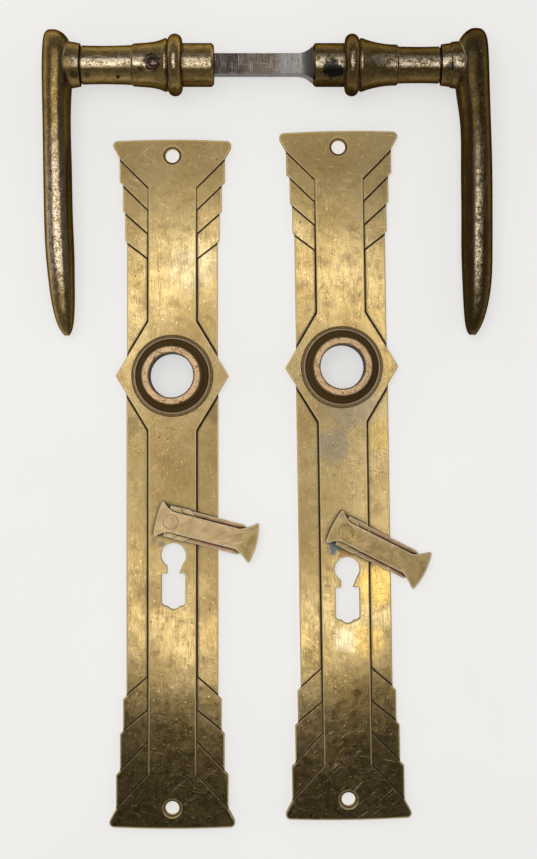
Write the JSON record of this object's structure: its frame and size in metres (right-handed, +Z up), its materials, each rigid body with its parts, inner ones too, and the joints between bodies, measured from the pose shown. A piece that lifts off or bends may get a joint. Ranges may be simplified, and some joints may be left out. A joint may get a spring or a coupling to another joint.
{
  "type": "lever handle lockset",
  "caption": "Antique brass lever handle set for a mortice lock, laid out flat: long stepped back plates with swinging keyhole covers, and levers on a square spindle.",
  "frame": {"origin": "on the table, under the middle of the laid-out set's bounding box", "axes": "+Z up from the table, through the plates from back to front; +Y from the lower ends of the plates to the handles, along the plates; +X from the left lever to the right one, along the spindle"},
  "size_m": [0.1784, 0.3184, 0.0243],
  "materials": {
    "plate_brass": "worn and mottled, tarnish in the recesses, bright rubbed edges",
    "collar_brass": "dark tarnish with a rubbed rim",
    "liner_bronze": "worn bright on the rim, dark on the walls",
    "cover_brass": "dull, olive to copper brown",
    "handle_brass": "olive brown tarnish, polished where the hand rubs",
    "spindle_steel": "file marked, brown tarnish to bare steel",
    "screw_steel": "rusty, scratched",
    "spring_steel": "dull grey brown"
  },
  "bodies": {
    "plates": {"left_back_plate": "plate_brass", "left_handle_collar": "collar_brass", "left_collar_bush": "liner_bronze", "left_cover_rivet": "cover_brass", "left_cover_washer": "spring_steel", "right_back_plate": "plate_brass", "right_handle_collar": "collar_brass", "right_collar_bush": "liner_bronze", "right_cover_rivet": "cover_brass", "right_cover_washer": "spring_steel"},
    "left_cover": {"left_keyhole_cover": "cover_brass"},
    "right_cover": {"right_keyhole_cover": "cover_brass"},
    "right_handle": {"spindle": "spindle_steel", "right_journal": "handle_brass", "right_bead_ring": "handle_brass", "right_flared_sleeve": "handle_brass", "right_neck": "handle_brass", "right_grip": "handle_brass"},
    "left_handle": {"left_journal": "handle_brass", "left_bead_ring": "handle_brass", "left_flared_sleeve": "handle_brass", "left_neck": "handle_brass", "left_grip": "handle_brass", "left_grub_screw": "screw_steel"}
  },
  "joints": [
    {"name": "handle_turn", "type": "hinge", "parent": "plates", "child": "right_handle", "pos_m": [0, 0.145, 0.01215], "axis": [-1, 0, 0], "range_deg": [0, 35]},
    {"name": "left_handle_slide", "type": "slide", "parent": "right_handle", "child": "left_handle", "axis": [1, 0, 0], "range_m": [-0.008, 0.008]},
    {"name": "left_cover_swing", "type": "hinge", "parent": "plates", "child": "left_cover", "pos_m": [-0.0388, -0.036, 0.005], "axis": [0, 0, 1], "range_deg": [-116, 24]},
    {"name": "right_cover_swing", "type": "hinge", "parent": "plates", "child": "right_cover", "pos_m": [0.03114, -0.04008, 0.005], "axis": [0, 0, 1], "range_deg": [-103, 37]}
  ]
}
